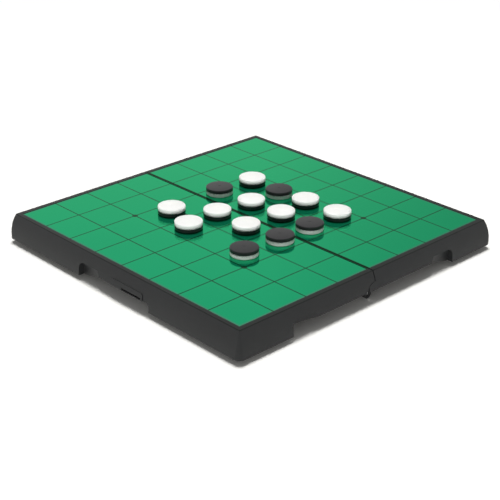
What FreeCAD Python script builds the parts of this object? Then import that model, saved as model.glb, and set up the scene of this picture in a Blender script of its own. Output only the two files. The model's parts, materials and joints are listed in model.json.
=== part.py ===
import FreeCAD, Part
import math
import os
import re
import Sketcher

# Folding magnetic reversi board, open and in play.
# X runs along the fold, Y from the front half to the back half, +Z up.
# The origin is on the table, under the middle of the fold.

DRIVING_SIZES = [
    # Playing field
    ("squares_per_side", 8),
    ("square_pitch", 29.3),
    ("seam_strip", 2.24),
    ("print_line_width", 0.9),
    ("print_depth", 0.1),
    ("star_dot_diameter", 4.2),
    ("star_dot_square", 2),
    ("sheet_thickness", 0.4),
    ("sheet_setback", 0.25),
    ("sheet_clearance", 0.1),
    # Moulded half cases
    ("end_border", 3.8),
    ("edge_border", 3.4),
    ("wall_height", 19.25),
    ("wall_bulge", 4.5),
    ("belly_height", 0.4),
    ("wall_thickness", 2.2),
    ("roof_thickness", 1.8),
    ("seam_wall_thickness", 1.8),
    ("corner_radius_top", 0.8),
    ("corner_radius_foot", 4.6),
    ("rim_round", 0.5),
    ("foot_round", 0.3),
    # Storage wells, whose lips carry the open board
    ("lip_drop", 3.7),
    ("well_inset", 23.2),
    ("well_seam_distance", 17.0),
    ("well_wall_thickness", 1.6),
    ("well_nesting_clearance", 0.6),
    ("rib_height", 1.6),
    ("rib_thickness", 1.2),
    ("ribs_along", 3),
    ("ribs_across", 5),
    ("rib_pitch_along", 33.0),
    ("rib_pitch_across", 20.0),
    # Finger gaps between the corner feet
    ("gap_height", 6.3),
    ("gap_corner_radius", 3.0),
    ("gap_wall_depth", 8.0),
    ("edge_gap_half_length", 38.2),
    ("edge_gap_shift", -0.8),
    ("front_foot_length", 47.3),
    ("back_foot_length", 45.0),
    ("return_wall_thickness", 2.0),
    # Finger scoops beside the feet
    ("scoop_depth", 4.4),
    ("scoop_length", 24.0),
    ("scoop_height", 10.5),
    ("scoop_corner_radius", 4.5),
    # Closing tab on the front edge
    ("tab_left", -3.0),
    ("tab_right", 31.0),
    ("tab_height", 5.0),
    ("tab_corner_radius", 2.5),
    ("tab_relief", 0.5),
    ("tab_lip", 0.5),
    ("slot_inset_left", 11.8),
    ("slot_inset_right", 2.0),
    ("slot_height", 1.1),
    ("slot_depth", 6.0),
    # Fold
    ("seam_gap", 0.8),
    ("closed_gap", 0.3),
    ("running_clearance", 0.35),
    ("knuckle_radius", 3.2),
    ("knuckle_length", 7.6),
    ("knuckle_inset", 8.0),
    ("knuckle_side_gap", 0.4),
    ("pin_radius", 1.2),
    ("pin_running_clearance", 0.07),
    ("pin_end_setback", 0.5),
    ("ear_reach", 6.5),
    ("ear_radius", 12.0),
    ("ear_clearance", 0.3),
    ("ear_corner_round", 4.5),
    # Discs
    ("disc_diameter", 20.5),
    ("disc_half_thickness", 3.2),
    ("disc_edge_round", 0.6),
    ("magnet_radius", 4.0),
    ("magnet_thickness", 1.5),
    ("magnet_radial_clearance", 0.1),
    ("magnet_end_clearance", 0.05),
    ("spigot_inner_radius", 6.4),
    ("spigot_outer_radius", 7.4),
    ("spigot_height", 0.8),
    ("spigot_clearance", 0.05),
]

DERIVED_SIZES = [
    ("field_half", "=squares_per_side / 2 * square_pitch"),
    ("field_near", "=seam_strip / 2"),
    ("field_far", "=field_near + field_half"),
    ("base_half_x", "=field_half + end_border + wall_bulge"),
    ("base_half_y", "=field_far + edge_border + wall_bulge"),
    ("feet_level", "=lip_drop"),
    ("rim_level", "=lip_drop + wall_height"),
    ("belly_level", "=lip_drop + belly_height"),
    ("bulge_radius", "=((wall_height - belly_height) ^ 2 + wall_bulge ^ 2) / (2 * wall_bulge)"),
    ("sheet_top", "=rim_level - sheet_setback"),
    ("sheet_seat", "=sheet_top - sheet_thickness"),
    ("roof_under", "=sheet_seat - roof_thickness"),
    ("gap_top", "=lip_drop + gap_height"),
    ("scoop_top", "=lip_drop + scoop_height"),
    ("scoop_radius", "=(scoop_length ^ 2 + scoop_depth ^ 2) / (2 * scoop_depth)"),
    ("fold_level", "=lip_drop - closed_gap / 2"),
    ("knuckle_outer_end", "=base_half_x - knuckle_inset"),
    ("knuckle_notch", "=knuckle_radius + running_clearance"),
    ("knuckle_step", "=knuckle_length + knuckle_side_gap"),
    ("pin_length", "=3 * knuckle_length + 2 * knuckle_side_gap - 2 * pin_end_setback"),
    ("disc_radius", "=disc_diameter / 2"),
    ("disc_round_start", "=disc_radius - disc_edge_round"),
    ("disc_round_height", "=disc_half_thickness - disc_edge_round"),
    ("magnet_pocket_radius", "=magnet_radius + magnet_radial_clearance"),
    ("magnet_pocket_depth", "=magnet_thickness / 2 + magnet_end_clearance"),
    ("groove_inner_radius", "=spigot_inner_radius - spigot_clearance"),
    ("groove_outer_radius", "=spigot_outer_radius + spigot_clearance"),
    ("groove_depth", "=spigot_height + spigot_clearance"),
]

# Each disc in play: its column, its row, how far it lies off the square's centre
# along X and Y in millimetres, and the colour of its upper face.
DISCS_IN_PLAY = [
    (2, 5, -0.4, 0.1, "white"),
    (2, 2, 0.0, 8.2, "white"),
    (3, 2, 0.0, -0.6, "white"),
    (3, 3, -2.4, -0.1, "white"),
    (3, 4, 0.8, -0.5, "white"),
    (4, 4, 2.1, 0.6, "white"),
    (4, 5, -2.2, 1.1, "white"),
    (5, 5, 0.7, 1.5, "white"),
    (4, 3, 0.8, -1.6, "white"),
    (2, 4, -4.5, -1.2, "black"),
    (3, 5, 0.0, -0.1, "black"),
    (5, 4, 1.2, 1.4, "black"),
    (5, 3, 0.9, 3.5, "black"),
    (5, 2, -0.5, -0.2, "black"),
]

FRONT = -1
BACK = 1
HALF_NAMES = {FRONT: "front", BACK: "back"}
TURNS = {
    "x": FreeCAD.Rotation(FreeCAD.Vector(0, 1, 0), 90),
    "y": FreeCAD.Rotation(FreeCAD.Vector(1, 0, 0), -90),
    "z": FreeCAD.Rotation(),
}
UPSIDE_DOWN = FreeCAD.Rotation(FreeCAD.Vector(1, 0, 0), 180)
OVERSHOOT = 1.0
NEAR_ZERO = 0.01
ON_AXIS = "0"

doc = FreeCAD.newDocument("ReversiBoard")
sizes = doc.addObject("Spreadsheet::Sheet", "Sizes")
for row, (alias, content) in enumerate(DRIVING_SIZES + DERIVED_SIZES, start=1):
    sizes.set(f"A{row}", alias)
    sizes.set(f"B{row}", str(content))
    sizes.setAlias(f"B{row}", alias)
doc.recompute()
ALIAS = re.compile(r"\b(" + "|".join(alias for alias, _ in DRIVING_SIZES + DERIVED_SIZES) + r")\b")


def size(alias):
    """Number that the sheet holds under an alias, which may have a minus sign."""
    if alias == ON_AXIS:
        return 0.0
    sign = -1 if alias.startswith("-") else 1
    return sign * float(sizes.get(alias.lstrip("-")))


def bind(item, prop, formula):
    """Tie a property to a formula written with the sheet's aliases."""
    item.setExpression(prop, ALIAS.sub(r"Sizes.\1", str(formula)))


def toward(side, near, far):
    """Low and high formulas of a span that starts near the middle and runs to one side."""
    if side < 0:
        return f"-({far})", f"-({near})"
    return f"{near}", f"{far}"


def box(name, x, y, z):
    """Box between a low and a high formula on each axis."""
    item = doc.addObject("Part::Box", name)
    for prop, axis, (low, high) in (("Length", "x", x), ("Width", "y", y), ("Height", "z", z)):
        bind(item, prop, f"({high}) - ({low})")
        bind(item, f"Placement.Base.{axis}", low)
    return item


def rod(name, axis, radius, span, **centre):
    """Cylinder along an axis, from the low to the high formula of its span."""
    item = doc.addObject("Part::Cylinder", name)
    item.Placement = FreeCAD.Placement(FreeCAD.Vector(), TURNS[axis])
    low, high = span
    bind(item, "Radius", radius)
    bind(item, "Height", f"({high}) - ({low})")
    bind(item, f"Placement.Base.{axis}", low)
    for other, formula in centre.items():
        bind(item, f"Placement.Base.{other}", formula)
    return item


def joined(name, items):
    """All items as one solid."""
    item = doc.addObject("Part::MultiFuse", name)
    item.Shapes = items
    return item


def without(name, base, tool):
    """The base with the tool's space removed."""
    item = doc.addObject("Part::Cut", name)
    item.Base = base
    item.Tool = tool
    return item


def overlap(name, base, tool):
    """The space that both items fill."""
    item = doc.addObject("Part::Common", name)
    item.Base = base
    item.Tool = tool
    return item


def rounded(name, base, radii_of):
    """The base with a fillet on each edge that radii_of gives a start and an end radius for."""
    doc.recompute()
    picked = []
    for number, edge in enumerate(base.Shape.Edges, start=1):
        radii = radii_of(edge)
        if radii:
            picked.append((number, *radii))
    item = doc.addObject("Part::Fillet", name)
    item.Base = base
    item.Edges = picked
    return item


def outer_form(name, side, inset, near, low, high):
    """Solid block of one half inside walls that bulge outwards, set in by a wall's thickness."""
    reach = f"wall_bulge + wall_thickness + 4 * {OVERSHOOT}"
    tall = (f"{low} - {OVERSHOOT}", f"{high} + {OVERSHOOT}")
    wide = (f"-base_half_x - 2 * {OVERSHOOT}", f"base_half_x + 2 * {OVERSHOOT}")
    deep = toward(side, f"{near} - 2 * {OVERSHOOT}", f"base_half_y + 2 * {OVERSHOOT}")
    block = box(
        f"{name}_block",
        (f"-base_half_x - {OVERSHOOT}", f"base_half_x + {OVERSHOOT}"),
        toward(side, near, f"base_half_y + {OVERSHOOT}"),
        (low, high),
    )
    strip = box(
        f"{name}_edge_strip",
        wide,
        toward(side, f"base_half_y - ({reach})", f"base_half_y + 2 * {OVERSHOOT}"),
        tall,
    )
    belly = rod(
        f"{name}_edge_belly", "x", f"bulge_radius - {inset}", wide,
        y=f"{side} * (base_half_y - bulge_radius)", z="belly_level",
    )
    trims = [without(f"{name}_edge_trim", strip, belly)]
    for end in (-1, 1):
        tag = f"{name}_end_{'left' if end < 0 else 'right'}"
        strip = box(
            f"{tag}_strip",
            toward(end, f"base_half_x - ({reach})", f"base_half_x + 2 * {OVERSHOOT}"),
            deep,
            tall,
        )
        belly = rod(
            f"{tag}_belly", "y", f"bulge_radius - {inset}", deep,
            x=f"{end} * (base_half_x - bulge_radius)", z="belly_level",
        )
        trims.append(without(f"{tag}_trim", strip, belly))
    return without(f"{name}_form", block, joined(f"{name}_trims", trims))


def on_outline(edge, level):
    """Whether an edge lies flat at a level on the three bulged sides."""
    bounds = edge.BoundBox
    flat = bounds.ZLength < NEAR_ZERO and abs(bounds.ZMin - level) < NEAR_ZERO
    middle = edge.valueAt((edge.FirstParameter + edge.LastParameter) / 2)
    return flat and abs(middle.y) > size("seam_gap")


def rounded_form(name, side):
    """Outer form of a half: corners that soften towards the feet, and eased rims."""
    form = outer_form(name, side, "0", "seam_gap / 2", "feet_level", "rim_level")

    def corner_radii(edge):
        middle = edge.valueAt((edge.FirstParameter + edge.LastParameter) / 2)
        upright = edge.BoundBox.ZLength > size("wall_height") / 2
        if not upright or abs(middle.y) < size("field_far"):
            return None
        rising = edge.valueAt(edge.LastParameter).z > edge.valueAt(edge.FirstParameter).z
        ends = (size("corner_radius_foot"), size("corner_radius_top"))
        return ends if rising else ends[::-1]

    def rim_radii(edge):
        if on_outline(edge, size("rim_level")):
            return size("rim_round"), size("rim_round")
        if on_outline(edge, size("feet_level")):
            return size("foot_round"), size("foot_round")
        return None

    cornered = rounded(f"{name}_cornered", form, corner_radii)
    return rounded(f"{name}_eased", cornered, rim_radii)


def storage_well(name, side, inset):
    """Ring wall from the roof down to the table, set in by the clearance that lets one nest."""
    outer = box(
        f"{name}_well_outer",
        (f"-base_half_x + well_inset + {inset}", f"base_half_x - well_inset - ({inset})"),
        toward(side, f"well_seam_distance + {inset}", f"base_half_y - well_inset - ({inset})"),
        ("0", f"roof_under + {OVERSHOOT}"),
    )
    inner_inset = f"{inset} + well_wall_thickness"
    inner = box(
        f"{name}_well_inner",
        (f"-base_half_x + well_inset + {inner_inset}", f"base_half_x - well_inset - ({inner_inset})"),
        toward(side, f"well_seam_distance + {inner_inset}", f"base_half_y - well_inset - ({inner_inset})"),
        (f"-{OVERSHOOT}", "roof_under"),
    )
    return without(f"{name}_well", outer, inner)


def roof_ribs(name, side, inset):
    """Low stiffening ribs under the roof, inside the storage well."""
    ribs = []
    high = ("roof_under - rib_height", f"roof_under + {OVERSHOOT}")
    middle = "(well_seam_distance + base_half_y - well_inset) / 2"
    half_rib = "rib_thickness / 2"
    for number in range(int(size("ribs_along"))):
        across = f"{middle} + ({number} - (ribs_along - 1) / 2) * rib_pitch_across"
        ribs.append(box(
            f"{name}_rib_along_{number}",
            (f"-base_half_x + well_inset + {inset}", f"base_half_x - well_inset - ({inset})"),
            toward(side, f"{across} - {half_rib}", f"{across} + {half_rib}"),
            high,
        ))
    for number in range(int(size("ribs_across"))):
        along = f"({number} - (ribs_across - 1) / 2) * rib_pitch_along"
        ribs.append(box(
            f"{name}_rib_across_{number}",
            (f"{along} - {half_rib}", f"{along} + {half_rib}"),
            toward(side, f"well_seam_distance + {inset}", f"base_half_y - well_inset - ({inset})"),
            high,
        ))
    return ribs


def gap_tool(name, x, y, round_ends):
    """Tool for a gap under the wall, with rounded upper ends beside the feet."""
    tool = box(name, x, y, (f"feet_level - {OVERSHOOT}", "gap_top"))
    radius = size("gap_corner_radius")

    def end_radii(edge):
        bounds = edge.BoundBox
        if bounds.ZLength > NEAR_ZERO or abs(bounds.ZMin - size("gap_top")) > NEAR_ZERO:
            return None
        return (radius, radius) if round_ends(bounds) else None

    return rounded(f"{name}_rounded", tool, end_radii)


def wall_zone(name, wall, side, end, span, upright):
    """Box in the zone of a wall: the free edge, or an end wall of one half.

    span runs towards the foot, along X on the edge and away from the fold on an end.
    """
    near, far = span
    if wall == "edge":
        along = (near, far) if end > 0 else (far, near)
        across = toward(side, "base_half_y - gap_wall_depth", f"base_half_y + {OVERSHOOT}")
        return box(name, along, across, upright)
    across = toward(end, "base_half_x - gap_wall_depth", f"base_half_x + {OVERSHOOT}")
    return box(name, across, toward(side, near, far), upright)


def scoop_dish(name, wall, side, end, cut, grow, upright):
    """Upright cylinder that a scoop's dished back follows, grown by its wall's thickness."""
    clear = "scoop_radius - scoop_depth"
    if wall == "edge":
        centre = {"x": cut, "y": f"{side} * (base_half_y + {clear})"}
    else:
        centre = {"x": f"{end} * (base_half_x + {clear})", "y": f"{side} * ({cut})"}
    return rod(name, "z", f"scoop_radius + {grow}", upright, **centre)


def scoop_pair(name, side, end, wall, cut):
    """Scoop beside a foot: its tool, and the thicker wall that backs it.

    wall is "edge" for the free edge or "end" for an end wall. cut is the formula of the
    foot's cut face, along X on the edge and away from the fold on an end.
    """
    outwards = end if wall == "edge" else 1
    inward = f"({cut}) - {outwards} * (scoop_length + 2 * {OVERSHOOT})"
    beyond = f"({cut}) + {outwards} * return_wall_thickness"

    hollow_height = (f"feet_level - {OVERSHOOT}", "scoop_top")
    hollow = wall_zone(f"{name}_hollow", wall, side, end, (inward, cut), hollow_height)
    arched = rounded(f"{name}_arched", hollow, arch_radii(wall, end, side, hollow))
    dish = scoop_dish(f"{name}_dish", wall, side, end, cut, "0", hollow_height)
    tool = overlap(f"{name}_tool", arched, dish)

    wall_height = ("feet_level", "scoop_top + return_wall_thickness")
    block = wall_zone(f"{name}_back_block", wall, side, end, (inward, beyond), wall_height)
    round_back = scoop_dish(f"{name}_back_dish", wall, side, end, cut, "return_wall_thickness", wall_height)
    back = overlap(f"{name}_back", block, round_back)
    face = wall_zone(f"{name}_return", wall, side, end, (cut, beyond), wall_height)
    return tool, [back, face]


def arch_radii(wall, end, side, block):
    """Picker of the upper edge at the foot's cut face, which is arched."""
    radius = size("scoop_corner_radius")

    def radii(edge):
        bounds = edge.BoundBox
        whole = block.Shape.BoundBox
        if bounds.ZLength > NEAR_ZERO or abs(bounds.ZMin - whole.ZMax) > NEAR_ZERO:
            return None
        if wall == "edge":
            face = whole.XMax if end > 0 else whole.XMin
            at_face = bounds.XLength < NEAR_ZERO and abs(bounds.XMin - face) < NEAR_ZERO
        else:
            face = whole.YMax if side > 0 else whole.YMin
            at_face = bounds.YLength < NEAR_ZERO and abs(bounds.YMin - face) < NEAR_ZERO
        return (radius, radius) if at_face else None

    return radii


def knuckle_span(end, place):
    """X span of a knuckle, counted inwards from the outer one."""
    outer = f"knuckle_outer_end - {place} * knuckle_step"
    return toward(end, f"{outer} - knuckle_length", outer)


def case_half(side, well_inset_extra, foot_length):
    """One moulded half: shell, feet, storage well, scoops, knuckles and bores."""
    name = f"case_{HALF_NAMES[side]}"
    form = rounded_form(name, side)
    cavity = outer_form(
        f"{name}_cavity", side, "wall_thickness", "seam_gap / 2 + seam_wall_thickness",
        f"feet_level - {OVERSHOOT}", "roof_under",
    )
    solids = [without(f"{name}_shell", form, cavity)]
    solids.append(storage_well(name, side, well_inset_extra))
    solids.extend(roof_ribs(name, side, well_inset_extra))
    cuts = [box(
        f"{name}_sheet_recess",
        ("-field_half", "field_half"),
        toward(side, "field_near", "field_far"),
        ("sheet_seat", f"rim_level + {OVERSHOOT}"),
    )]
    backings = []

    # Gap and scoops on the free edge, where the closing tab takes the place of the front's right scoop
    edge_cuts = {end: f"edge_gap_shift + {end} * edge_gap_half_length" for end in (-1, 1)}
    scoop_ends = (-1,) if side == FRONT else (-1, 1)
    cuts.append(gap_tool(
        f"{name}_edge_gap",
        (edge_cuts[-1], edge_cuts[1]),
        toward(side, "base_half_y - gap_wall_depth", f"base_half_y + {OVERSHOOT}"),
        lambda bounds: bounds.XLength < NEAR_ZERO,
    ))
    for end in scoop_ends:
        tool, backing = scoop_pair(f"{name}_edge_scoop_{end + 1}", side, end, "edge", edge_cuts[end])
        cuts.append(tool)
        backings.extend(backing)

    # Gaps and scoops on the two end walls
    foot_cut = f"base_half_y - {foot_length}"
    for end in (-1, 1):
        cuts.append(gap_tool(
            f"{name}_end_gap_{end + 1}",
            toward(end, "base_half_x - gap_wall_depth", f"base_half_x + {OVERSHOOT}"),
            toward(side, f"-{OVERSHOOT}", foot_cut),
            lambda bounds: bounds.YLength < NEAR_ZERO and abs(bounds.YMin) > size("field_half") / 2,
        ))
        tool, backing = scoop_pair(f"{name}_end_scoop_{end + 1}", side, end, "end", foot_cut)
        cuts.append(tool)
        backings.extend(backing)
    solids.append(overlap(f"{name}_backing", form, joined(f"{name}_backings", backings)))

    # Knuckles: the front half has the outer and the inner one, the back half the middle one
    own_places = (0, 2) if side == FRONT else (1,)
    other_places = (1,) if side == FRONT else (0, 2)
    bore = "pin_radius" if side == FRONT else "pin_radius + pin_running_clearance"
    for end in (-1, 1):
        for place in own_places:
            tag = f"{name}_knuckle_{end + 1}_{place}"
            solids.append(rod(tag, "x", "knuckle_radius", knuckle_span(end, place), y="0", z="fold_level"))
            solids.append(box(
                f"{tag}_web",
                knuckle_span(end, place),
                toward(side, "seam_gap / 2", "seam_gap / 2 + seam_wall_thickness"),
                ("fold_level", "feet_level + knuckle_notch"),
            ))
            low, high = knuckle_span(end, place)
            span = (f"{low} - {OVERSHOOT}", f"{high} + {OVERSHOOT}")
            cuts.append(rod(f"{tag}_bore", "x", bore, span, y="0", z="fold_level"))
        for place in other_places:
            low, high = knuckle_span(end, place)
            cuts.append(box(
                f"{name}_relief_{end + 1}_{place}",
                (f"{low} - knuckle_side_gap", f"{high} + knuckle_side_gap"),
                toward(side, "-knuckle_notch", "knuckle_notch"),
                ("fold_level - knuckle_notch", "fold_level + knuckle_notch"),
            ))
    return name, solids, cuts


def ear_items(name, end, grow):
    """Disc around the fold and a block beside it, which bound an ear or its notch."""
    lap = f"ear_reach + {grow}"
    lens = rod(
        f"{name}_disc_{end + 1}", "x", f"ear_radius + {grow}",
        toward(end, "base_half_x - gap_wall_depth", f"base_half_x + {OVERSHOOT}"),
        y="0", z="fold_level",
    )
    lap_low = f"-({lap})"
    lap_high = "seam_gap" if grow == "0" else f"{OVERSHOOT}"
    level = "gap_top" if grow == "0" else f"feet_level - {OVERSHOOT}"
    block = box(
        f"{name}_block_{end + 1}",
        toward(end, "base_half_x - gap_wall_depth", f"base_half_x + {OVERSHOOT}"),
        (lap_low, lap_high),
        (level, "rim_level"),
    )
    return overlap(f"{name}_{end + 1}", lens, block)


def notch_corner(name, end):
    """Tool that rounds the lower corner of the front half's end wall beside the ear."""
    span = toward(end, "base_half_x - gap_wall_depth", f"base_half_x + {OVERSHOOT}")
    lap = "-(ear_reach + ear_clearance)"
    corner = box(
        f"{name}_corner_{end + 1}",
        span,
        (f"{lap} - ear_corner_round", lap),
        (f"gap_top - {OVERSHOOT}", "gap_top + ear_corner_round"),
    )
    round_end = rod(
        f"{name}_round_{end + 1}", "x", "ear_corner_round", span,
        y=f"{lap} - ear_corner_round", z="gap_top + ear_corner_round",
    )
    return without(f"{name}_{end + 1}", corner, round_end)


def end_skin(name, end):
    """Bulged skin of an end wall, as long as an ear needs."""
    span = ("-2 * ear_reach", "2 * ear_reach")
    centre = f"{end} * (base_half_x - bulge_radius)"
    outer = rod(f"{name}_outer_{end + 1}", "y", "bulge_radius", span, x=centre, z="belly_level")
    inner = rod(
        f"{name}_inner_{end + 1}", "y", "bulge_radius - wall_thickness", span,
        x=centre, z="belly_level",
    )
    return without(f"{name}_{end + 1}", outer, inner)


def finished(name, base, tool):
    """One moulding: its solid form without the last tool."""
    moulding = without(name, base, tool)
    moulding.Refine = True
    moulding.Label = name
    return moulding


def closing_tab(name):
    """Block of the closing tab, which follows the wall's bulge and stands a little proud of it."""
    block = box(
        f"{name}_block",
        ("tab_left", "tab_right"),
        toward(FRONT, "base_half_y - gap_wall_depth", f"base_half_y + {OVERSHOOT}"),
        ("gap_top", "gap_top + tab_height"),
    )
    radius = size("tab_corner_radius")

    def upper_end_radii(edge):
        bounds = edge.BoundBox
        level = bounds.ZLength < NEAR_ZERO and abs(bounds.ZMin - block.Shape.BoundBox.ZMax) < NEAR_ZERO
        return (radius, radius) if level and bounds.XLength < NEAR_ZERO else None

    belly = rod(
        f"{name}_belly", "x", "bulge_radius + tab_relief", ("tab_left", "tab_right"),
        y="-(base_half_y - bulge_radius)", z="belly_level",
    )
    return overlap(name, rounded(f"{name}_rounded", block, upper_end_radii), belly)


def front_case():
    """Front half, with notches for the ears, and the closing tab with its slot on the free edge."""
    name, solids, cuts = case_half(FRONT, "0", "front_foot_length")
    for end in (-1, 1):
        cuts.append(ear_items(f"{name}_ear_notch", end, "ear_clearance"))
        cuts.append(notch_corner(f"{name}_notch_corner", end))
    shell = without(f"{name}_open", joined(f"{name}_solids", solids), joined(f"{name}_openings", cuts))
    slot = box(
        f"{name}_tab_slot",
        ("tab_left + slot_inset_left", "tab_right - slot_inset_right"),
        toward(FRONT, "base_half_y - slot_depth", f"base_half_y + 2 * {OVERSHOOT}"),
        ("gap_top + tab_lip", "gap_top + tab_lip + slot_height"),
    )
    return finished(name, joined(f"{name}_with_tab", [shell, closing_tab(f"{name}_tab")]), slot)


def back_case():
    """Back half, with an ear on each end wall that laps over the front half."""
    name, solids, cuts = case_half(BACK, "well_wall_thickness + well_nesting_clearance", "back_foot_length")
    for end in (-1, 1):
        solids.append(overlap(
            f"{name}_ear_{end + 1}",
            ear_items(f"{name}_ear_lens", end, "0"),
            end_skin(f"{name}_ear_skin", end),
        ))
    return finished(name, joined(f"{name}_solids", solids), joined(f"{name}_cuts", cuts))


def grid_print(side):
    """Printed lines and star dots of one half, let into the sheet."""
    name = f"grid_print_{HALF_NAMES[side]}"
    upright = ("sheet_top - print_depth", "sheet_top")
    half_line = "print_line_width / 2"
    squares = int(size("squares_per_side"))
    marks = []
    for line in range(1, squares):
        along = f"({line} - squares_per_side / 2) * square_pitch"
        marks.append(box(
            f"{name}_upright_{line}",
            (f"{along} - {half_line}", f"{along} + {half_line}"),
            toward(side, "field_near + sheet_clearance", "field_far - sheet_clearance"),
            upright,
        ))
    for line in range(1, squares // 2):
        across = f"field_near + {line} * square_pitch"
        marks.append(box(
            f"{name}_level_{line}",
            ("-field_half + sheet_clearance", "field_half - sheet_clearance"),
            toward(side, f"{across} - {half_line}", f"{across} + {half_line}"),
            upright,
        ))
    for end in (-1, 1):
        marks.append(rod(
            f"{name}_dot_{end + 1}", "z", "star_dot_diameter / 2", upright,
            x=f"{end} * star_dot_square * square_pitch",
            y=f"{side} * (field_near + star_dot_square * square_pitch)",
        ))
    print_solid = joined(name, marks)
    print_solid.Refine = True
    print_solid.Label = name
    return print_solid


def playing_sheet(side, print_solid):
    """Steel sheet of one half, green on top, with the print let in."""
    name = f"playing_sheet_{HALF_NAMES[side]}"
    plate = box(
        f"{name}_plate",
        ("-field_half + sheet_clearance", "field_half - sheet_clearance"),
        toward(side, "field_near + sheet_clearance", "field_far - sheet_clearance"),
        ("sheet_seat", "sheet_top"),
    )
    sheet = without(name, plate, print_solid)
    sheet.Label = name
    return sheet


def hinge_pin(end):
    """Steel pin through the three knuckles at one end of the fold."""
    name = f"hinge_pin_{'left' if end < 0 else 'right'}"
    outer = "knuckle_outer_end - pin_end_setback"
    pin = rod(name, "x", "pin_radius", toward(end, f"{outer} - pin_length", outer), y="0", z="fold_level")
    pin.Label = name
    return pin


def turned_body(name, outline):
    """Body turned about its upright axis from an outline of sheet sizes.

    Each corner is its radius, its height and, where an arc starts there, the arc's
    centre. The outline runs anticlockwise.
    """
    body = doc.addObject("PartDesign::Body", name)
    body.Label = name
    plane = next(item for item in body.Origin.OriginFeatures if item.Role == "XZ_Plane")
    sketch = body.newObject("Sketcher::SketchObject", f"{name}_outline")
    sketch.AttachmentSupport = [(plane, "")]
    sketch.MapMode = "FlatFace"
    corners = [FreeCAD.Vector(size(radius), size(height), 0) for radius, height, _ in outline]
    lines = []
    for number, (_, _, centre) in enumerate(outline):
        start = corners[number]
        stop = corners[(number + 1) % len(corners)]
        if centre is None:
            lines.append(sketch.addGeometry(Part.LineSegment(start, stop)))
            continue
        middle = FreeCAD.Vector(size(centre[0]), size(centre[1]), 0)
        circle = Part.Circle(middle, FreeCAD.Vector(0, 0, 1), (start - middle).Length)
        first = math.atan2(start.y - middle.y, start.x - middle.x)
        last = math.atan2(stop.y - middle.y, stop.x - middle.x)
        lines.append(sketch.addGeometry(Part.ArcOfCircle(circle, first, last)))
    for number, (radius, height, centre) in enumerate(outline):
        line = lines[number]
        following = lines[(number + 1) % len(lines)]
        sketch.addConstraint(Sketcher.Constraint("Coincident", line, 2, following, 1))
        for kind, alias in (("DistanceX", radius), ("DistanceY", height)):
            place = sketch.addConstraint(Sketcher.Constraint(kind, -1, 1, line, 1, size(alias)))
            bind(sketch, f"Constraints[{place}]", alias)
        if centre is not None:
            place = sketch.addConstraint(Sketcher.Constraint("Radius", line, size("disc_edge_round")))
            bind(sketch, f"Constraints[{place}]", "disc_edge_round")
    revolution = body.newObject("PartDesign::Revolution", f"{name}_turned")
    revolution.Profile = sketch
    revolution.ReferenceAxis = (sketch, ["V_Axis"])
    revolution.Angle = 360
    return body


WHITE_HALF_OUTLINE = [
    (ON_AXIS, "magnet_pocket_depth", None),
    ("magnet_pocket_radius", "magnet_pocket_depth", None),
    ("magnet_pocket_radius", ON_AXIS, None),
    ("groove_inner_radius", ON_AXIS, None),
    ("groove_inner_radius", "groove_depth", None),
    ("groove_outer_radius", "groove_depth", None),
    ("groove_outer_radius", ON_AXIS, None),
    ("disc_radius", ON_AXIS, None),
    ("disc_radius", "disc_round_height", ("disc_round_start", "disc_round_height")),
    ("disc_round_start", "disc_half_thickness", None),
    (ON_AXIS, "disc_half_thickness", None),
]
BLACK_HALF_OUTLINE = [
    (ON_AXIS, "-disc_half_thickness", None),
    ("disc_round_start", "-disc_half_thickness", ("disc_round_start", "-disc_round_height")),
    ("disc_radius", "-disc_round_height", None),
    ("disc_radius", ON_AXIS, None),
    ("spigot_outer_radius", ON_AXIS, None),
    ("spigot_outer_radius", "spigot_height", None),
    ("spigot_inner_radius", "spigot_height", None),
    ("spigot_inner_radius", ON_AXIS, None),
    ("magnet_pocket_radius", ON_AXIS, None),
    ("magnet_pocket_radius", "-magnet_pocket_depth", None),
    (ON_AXIS, "-magnet_pocket_depth", None),
]


def disc(number, column, line, shift_x, shift_y, upper):
    """One two-tone disc: its white half, its black half and the magnet between them."""
    side = FRONT if line < size("squares_per_side") / 2 else BACK
    centre_x = f"({column} + 0.5 - squares_per_side / 2) * square_pitch + {shift_x}"
    centre_y = f"({line} + 0.5 - squares_per_side / 2) * square_pitch + {side} * field_near + {shift_y}"
    name = f"disc_{number:02d}"
    mid_level = "sheet_top + disc_half_thickness"
    white = turned_body(f"{name}_white", WHITE_HALF_OUTLINE)
    black = turned_body(f"{name}_black", BLACK_HALF_OUTLINE)
    thickness = (f"{mid_level} - magnet_thickness / 2", f"{mid_level} + magnet_thickness / 2")
    magnet = rod(f"{name}_magnet", "z", "magnet_radius", thickness, x=centre_x, y=centre_y)
    magnet.Label = f"{name}_magnet"
    for body in (white, black):
        if upper == "black":
            body.Placement = FreeCAD.Placement(FreeCAD.Vector(), UPSIDE_DOWN)
        bind(body, "Placement.Base.x", centre_x)
        bind(body, "Placement.Base.y", centre_y)
        bind(body, "Placement.Base.z", mid_level)
    return [white, black, magnet]


def every_part():
    """All the separate pieces of the board."""
    parts = [front_case(), back_case()]
    for side in (FRONT, BACK):
        print_solid = grid_print(side)
        parts.extend([playing_sheet(side, print_solid), print_solid])
    for end in (-1, 1):
        parts.append(hinge_pin(end))
    for number, placing in enumerate(DISCS_IN_PLAY, start=1):
        parts.extend(disc(number, *placing))
    return parts


def export(parts):
    """Check every object and write each part to its own file."""
    doc.recompute()
    for item in doc.Objects:
        if "Invalid" in item.State or "Error" in item.State:
            raise RuntimeError(f"{item.Name} failed: {item.State}")
    for item in parts:
        if item.Shape.isNull() or not item.Shape.isValid():
            raise RuntimeError(f"{item.Label} has no valid shape")
    os.makedirs("parts", exist_ok=True)
    for item in parts:
        item.Shape.exportStep(os.path.join("parts", f"{item.Label}.step"))
        print(item.Label, len(item.Shape.Solids), round(item.Shape.Volume, 1))


export(every_part())
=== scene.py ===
import json
import math

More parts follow.
